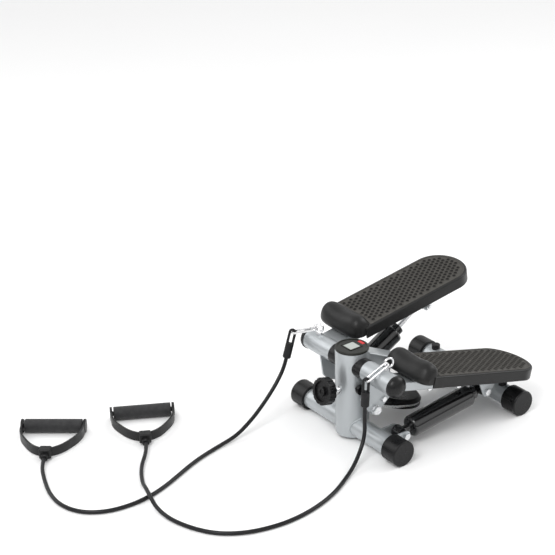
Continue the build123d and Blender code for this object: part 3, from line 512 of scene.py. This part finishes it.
def band_routes():
    """The two cords' routes, from the crimp on each hook to the neck of each handle."""
    (left, left_hang), (right, right_hang) = [crimp_foot(*arm) for arm in SIDES]
    return {
        "right": [
            right, right + right_hang * 22, (-141, -79, 84), (-137, -103, 63), (-132, -131, 43),
            (-127, -158, 28), (-124, -195, 9), (-120, -240, LAY), (-110, -283, LAY), (-97, -324, LAY),
            (-78, -368, LAY), (-60, -412, LAY), (-48, -456, LAY), (-46, -502, LAY), (-56, -548, LAY),
            (-84, -585, LAY), (-128, -602, LAY), (-176, -598, LAY), (-222, -583, LAY + 1.5),
            handle_point("right", HANDLE_EXIT + NECK_RUN), handle_point("right", HANDLE_EXIT),
        ],
        "left": [
            left, left + left_hang * 26, (92, -38, 52), (101, -57, 26), (117, -88, 8),
            (138, -126, LAY), (162, -170, LAY), (179, -222, LAY), (187, -276, LAY), (184, -328, LAY),
            (168, -382, LAY), (138, -424, LAY), (96, -450, LAY), (44, -466, LAY), (-4, -466, LAY + 1),
            (-34, -460, OVER), (-64, -450, OVER), (-100, -437, LAY), (-148, -409, LAY + 1.5),
            handle_point("left", HANDLE_EXIT + NECK_RUN), handle_point("left", HANDLE_EXIT),
        ],
    }


def bands():
    for word, route in band_routes().items():
        points = to_row(route)
        line = spline_line(points)
        piece = tube("band_" + word, line, CORD_R * MM, None, "band_rubber")
        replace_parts(piece, "band_cord_" + word)
        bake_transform(piece)


# ---------- welds ----------
WELD_STEP = 0.6          # distance between a bead's sections
WELD_SIDES = 10
WELD_WAVE, WAVE_TURN = 0.16, 1.15      # a bead's even ripple: share of its radius, radians a section
WELD_LUMPS, LUMP_SCALE = 0.25, 300     # and its uneven lumps
WELD_OFF = 0.3           # from a surface to a bead's middle line
BASE_WELD_R, SPINE_WELD_R, ARM_WELD_R = 1.9, 1.7, 1.7


def weld(points, radius, closed):
    """Points and faces of a lumpy bead of weld along a line of points."""
    line = []
    for a, b in zip(points, points[1:]):
        steps = max(1, round((b - a).length / (WELD_STEP * MM)))
        line += [a.lerp(b, i / steps) for i in range(steps)]
    line.append(points[-1])
    verts, faces = [], []
    normal = None
    for i, point in enumerate(line):
        ahead = line[min(i + 1, len(line) - 1)] - line[max(i - 1, 0)]
        ahead.normalize()
        normal = ahead.orthogonal().normalized() if normal is None else normal
        normal = (normal - ahead * normal.dot(ahead)).normalized()
        across = ahead.cross(normal)
        lumps = WELD_LUMPS * noise.noise(point * LUMP_SCALE)
        ripple = 1 + WELD_WAVE * math.sin(i * WAVE_TURN) + lumps
        for k in range(WELD_SIDES):
            t = 2 * math.pi * k / WELD_SIDES
            verts.append(point + (normal * math.cos(t) + across * math.sin(t)) * radius * ripple)
    rings = len(line)
    last = rings if closed else rings - 1
    for i in range(last):
        for k in range(WELD_SIDES):
            near, far = i * WELD_SIDES, ((i + 1) % rings) * WELD_SIDES
            following = (k + 1) % WELD_SIDES
            faces.append((near + k, near + following, far + following, far + k))
    if not closed:
        faces.append(tuple(range(WELD_SIDES)))
        faces.append(tuple(range((rings - 1) * WELD_SIDES, rings * WELD_SIDES)))
    return verts, faces


def add_weld(name, points, radius, body, closed=True):
    verts, faces = weld(points, radius * MM, closed)
    return add_mesh(name, verts, faces, body, "frame_paint")


COLUMN_R, COLUMN_Y = 34.0, 4.5
TUBE_R, TUBE_Z = 21.0, 26.5
SLEEVE_R = 21.2
SPINE_HALF, SPINE_SLOPE, SPINE_POINT, SPINE_HEIGHT = 25.0, 26.0, (78.0, 160.0), 25.0
REAR_Y = 320.0
WELD_FLOOR = 9.0         # the base beads stop at this height
BASE_WELD_OFF = 0.4
COLUMN_SPREAD = 1.01     # sets the base beads just outside the column
REAR_PASSES = 30


def base_welds():
    """Beads where the column stands on the front tube."""
    reach = TUBE_R + BASE_WELD_OFF
    for word, side, _ in SIDES:
        ring = []
        steps = 120
        for i in range(steps + 1):
            t = 2 * math.pi * i / steps
            y, z = reach * math.cos(t), TUBE_Z + reach * math.sin(t)
            x = side * math.sqrt(COLUMN_R ** 2 - (y - COLUMN_Y) ** 2)
            if z > WELD_FLOOR:
                ring.append((x * COLUMN_SPREAD, y, z))
        gaps = [abs(a[2] - b[2]) + abs(a[1] - b[1]) for a, b in zip(ring, ring[1:])]
        split = gaps.index(max(gaps))
        ring = ring[split + 1:] + ring[:split + 1]
        add_weld("weld_column_" + word, to_row(ring), BASE_WELD_R, "frame", closed=False)


def spine_section():
    """The beads' outline square to the spine's length: (x, height over its middle line)."""
    half_x, half_z = SPINE_HALF + WELD_OFF, SPINE_HEIGHT / 2 + WELD_OFF
    return [(-half_x, -half_z), (half_x, -half_z), (half_x, half_z), (-half_x, half_z)]


def spine_weld(name, reach):
    """A bead round the spine, where reach gives y for a point (x, height) of its section."""
    corners = spine_section()
    ring = []
    steps = 16
    for (x0, h0), (x1, h1) in zip(corners, corners[1:] + corners[:1]):
        for i in range(steps):
            t = i / steps
            ring.append(reach(x0 + (x1 - x0) * t, h0 + (h1 - h0) * t))
    ring.append(ring[0])
    add_weld(name, to_row(ring), SPINE_WELD_R, "frame", closed=False)


def spine_welds():
    """Beads where the sloping spine meets the column and the rear tube."""
    slope = math.tan(math.radians(SPINE_SLOPE))
    upright = 1 / math.cos(math.radians(SPINE_SLOPE))

    def line_z(y, height):
        return SPINE_POINT[1] - (y - SPINE_POINT[0]) * slope + (height - SPINE_HEIGHT / 2) * upright

    def at_column(x, height):
        y = COLUMN_Y + math.sqrt(COLUMN_R ** 2 - min(abs(x), COLUMN_R - 1) ** 2) + WELD_OFF
        return (x, y, line_z(y, height))

    def at_rear(x, height):
        y = REAR_Y
        for _ in range(REAR_PASSES):           # y and z depend on each other, so they settle in turn
            z = line_z(y, height) - TUBE_Z
            y = REAR_Y - math.sqrt(max(0.0, (TUBE_R + WELD_OFF) ** 2 - z * z))
        return (x, y, line_z(y, height))

    spine_weld("weld_spine_front", at_column)
    spine_weld("weld_spine_rear", at_rear)


ARM_IN, ARM_OUT, ARM_TOP, ARM_LOW = 75.0, 125.0, 4.0, -16.0


def arm_welds(word, side, angle):
    """A bead where the arm's tube meets the pivot sleeve."""
    place = arm_frame(side, angle)
    ring = []
    steps = 20
    edges = [(ARM_IN, ARM_TOP), (ARM_OUT, ARM_TOP), (ARM_OUT, ARM_LOW), (ARM_IN, ARM_LOW)]
    for (x0, z0), (x1, z1) in zip(edges, edges[1:] + edges[:1]):
        for i in range(steps):
            x, z = x0 + (x1 - x0) * i / steps, z0 + (z1 - z0) * i / steps
            ring.append(place @ Vector((x, math.sqrt((SLEEVE_R + WELD_OFF) ** 2 - z * z), z)))
    ring.append(ring[0])
    add_weld("weld_arm_" + word, ring, ARM_WELD_R, "arm_" + word, closed=False)


# ---------- console ----------
def rounded_box(name, centre, size, radius, body, slot, material=None):
    """A box with rounded edges, in the row frame, in metres."""
    work = bmesh.new()
    bmesh.ops.create_cube(work, size=1)
    for v in work.verts:
        v.co = Vector(centre) + Vector((v.co.x * size[0], v.co.y * size[1], v.co.z * size[2]))
    bmesh.ops.bevel(work, geom=work.edges[:], offset=radius, segments=3, affect="EDGES", profile=0.5)
    mesh = bpy.data.meshes.new(name)
    work.to_mesh(mesh)
    work.free()
    piece = bpy.data.objects.new(name, mesh)
    bpy.context.scene.collection.objects.link(piece)
    mesh.materials.append((material or MATERIALS[slot]).material)
    edge_smooth(piece)
    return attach(piece, body)


LCD_BAR = 2.6            # width of the frame's bars
BAR_HEIGHT, BAR_ROUND, BAR_MIDDLE = 1.4, 0.4, 0.5            # middle: over the display
MARK_WIDTH, MARK_HEIGHT, MARK_ROUND, MARK_MIDDLE = 1.8, 0.5, 0.1, 0.15   # middle: over the marks' ground
MARK_SIDE = 20.0         # from the display's middle to the printed marks
DECK_DROP = 2.4          # the marks' ground under the housing's top
PRINT_MARKS = ((-8, 4.0), (-1, 5.0), (7, 4.0))   # (y from the display's middle, length)


def console():
    """A raised frame round the display and a few printed marks beside it."""
    low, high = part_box("lcd_screen")
    top = high.z
    middle = (low + high) / 2
    width, depth = high.x - low.x, high.y - low.y
    bar = LCD_BAR * MM
    for name, x, y, w, d in (
        ("front", 0, -depth / 2 + bar / 2, width, bar), ("rear", 0, depth / 2 - bar / 2, width, bar),
        ("right", -width / 2 + bar / 2, 0, bar, depth), ("left", width / 2 - bar / 2, 0, bar, depth),
    ):
        centre = (middle.x + x, middle.y + y, top + BAR_MIDDLE * MM)
        size = (w, d, BAR_HEIGHT * MM)
        rounded_box("lcd_frame_" + name, centre, size, BAR_ROUND * MM, "frame", "console_plastic")
    ink = print_ink()
    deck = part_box("console_housing")[1].z - DECK_DROP * MM
    for i, (y, w) in enumerate(PRINT_MARKS):
        centre = (middle.x - MARK_SIDE * MM, middle.y + y * MM, deck + MARK_MIDDLE * MM)
        size = (MARK_WIDTH * MM, w * MM, MARK_HEIGHT * MM)
        rounded_box(f"print_mark_{i}", centre, size, MARK_ROUND * MM, "frame", "console_plastic", ink)


# ---------- floor, light and camera ----------
def stage_material():
    m = Material("studio_floor", (0.93, 0.93, 0.93), 0.75)
    m.tint(m.noise(2, 3), 0.985, 1.0)
    m.bump(m.noise(30, 3), 0.05)
    return m


FLOOR_HALF = 6.0         # metres
FLOOR_LEVEL = -0.0004    # just under the end caps, in metres
LAMP_AIM = (0, 0, 0.1)
LAMPS = (                # (name, place, size, watts)
    ("key", (0.9, -1.6, 2.3), 1.2, 34),
    ("fill", (-1.9, -1.0, 1.4), 1.6, 10),
    ("back", (0.6, 2.2, 1.7), 1.4, 22),
)
WORLD_STRENGTH = 0.92
WORLD_BANDS = (          # (height, brightness)
    (0.0, 0.30), (0.12, 0.25), (0.25, 1.0), (0.60, 1.15), (0.75, 0.85), (1.0, 1.0),
)


def stage():
    """The floor, the world and three lamps."""
    corners = [(FLOOR_HALF * x, FLOOR_HALF * y, 0) for x, y in ((-1, -1), (1, -1), (1, 1), (-1, 1))]
    mesh = bpy.data.meshes.new("studio_floor")
    mesh.from_pydata(corners, [], [(0, 1, 2, 3)])
    floor = bpy.data.objects.new("studio_floor", mesh)
    floor.location.z = FLOOR_LEVEL
    bpy.context.scene.collection.objects.link(floor)
    mesh.materials.append(stage_material().material)
    studio_world()
    bpy.context.scene.view_settings.view_transform = "Standard"
    for name, at, size, watts in LAMPS:
        data = bpy.data.lights.new(name, "AREA")
        data.energy, data.size = watts, size
        lamp = bpy.data.objects.new(name, data)
        lamp.location = at
        lamp.rotation_euler = (Vector(LAMP_AIM) - lamp.location).to_track_quat("-Z", "Y").to_euler()
        bpy.context.scene.collection.objects.link(lamp)


def studio_world():
    """A white studio: bright walls and ceiling with darker bands that show in the plated parts."""
    world = bpy.data.worlds.new("studio")
    bpy.context.scene.world = world
    world.use_nodes = True
    tree = world.node_tree
    background = tree.nodes["Background"]
    background.inputs["Strength"].default_value = WORLD_STRENGTH
    coords = tree.nodes.new("ShaderNodeTexCoord")
    split = tree.nodes.new("ShaderNodeSeparateXYZ")
    ramp = tree.nodes.new("ShaderNodeValToRGB")
    tree.links.new(coords.outputs["Generated"], split.inputs["Vector"])
    tree.links.new(split.outputs["Z"], ramp.inputs["Fac"])
    tree.links.new(ramp.outputs["Color"], background.inputs["Color"])
    while len(ramp.color_ramp.elements) < len(WORLD_BANDS):
        ramp.color_ramp.elements.new(0.5)
    for element, (place, light) in zip(ramp.color_ramp.elements, WORLD_BANDS):
        element.position = place
        element.color = (light, light, light, 1)


CAMERA_AT = (2407.7, -1932.0, 1796.0)     # from the middle of the front base tube, in millimetres
CAMERA_LOOK = (-0.73133, 0.53409, -0.42414)
CAMERA_ROLL = 1.45       # degrees
CAMERA_LENS = 113.83


def camera():
    data = bpy.data.cameras.new("camera")
    data.lens = CAMERA_LENS
    data.sensor_width = 36.0
    data.clip_start, data.clip_end = 0.05, 50
    eye = bpy.data.objects.new("camera", data)
    eye.location = ORIGIN + Vector(CAMERA_AT) * MM
    aim = Vector(CAMERA_LOOK).to_track_quat("-Z", "Y").to_matrix().to_4x4()
    aim = aim @ Matrix.Rotation(math.radians(-CAMERA_ROLL), 4, "Z")
    eye.rotation_euler = aim.to_euler()
    bpy.context.scene.collection.objects.link(eye)
    bpy.context.scene.camera = eye


camera()
bands()
for side_word, side_sign, rest_angle in SIDES:
    tread(side_word, side_sign, rest_angle)
    arm_welds(side_word, side_sign, rest_angle)
base_welds()
spine_welds()
console()
stage()
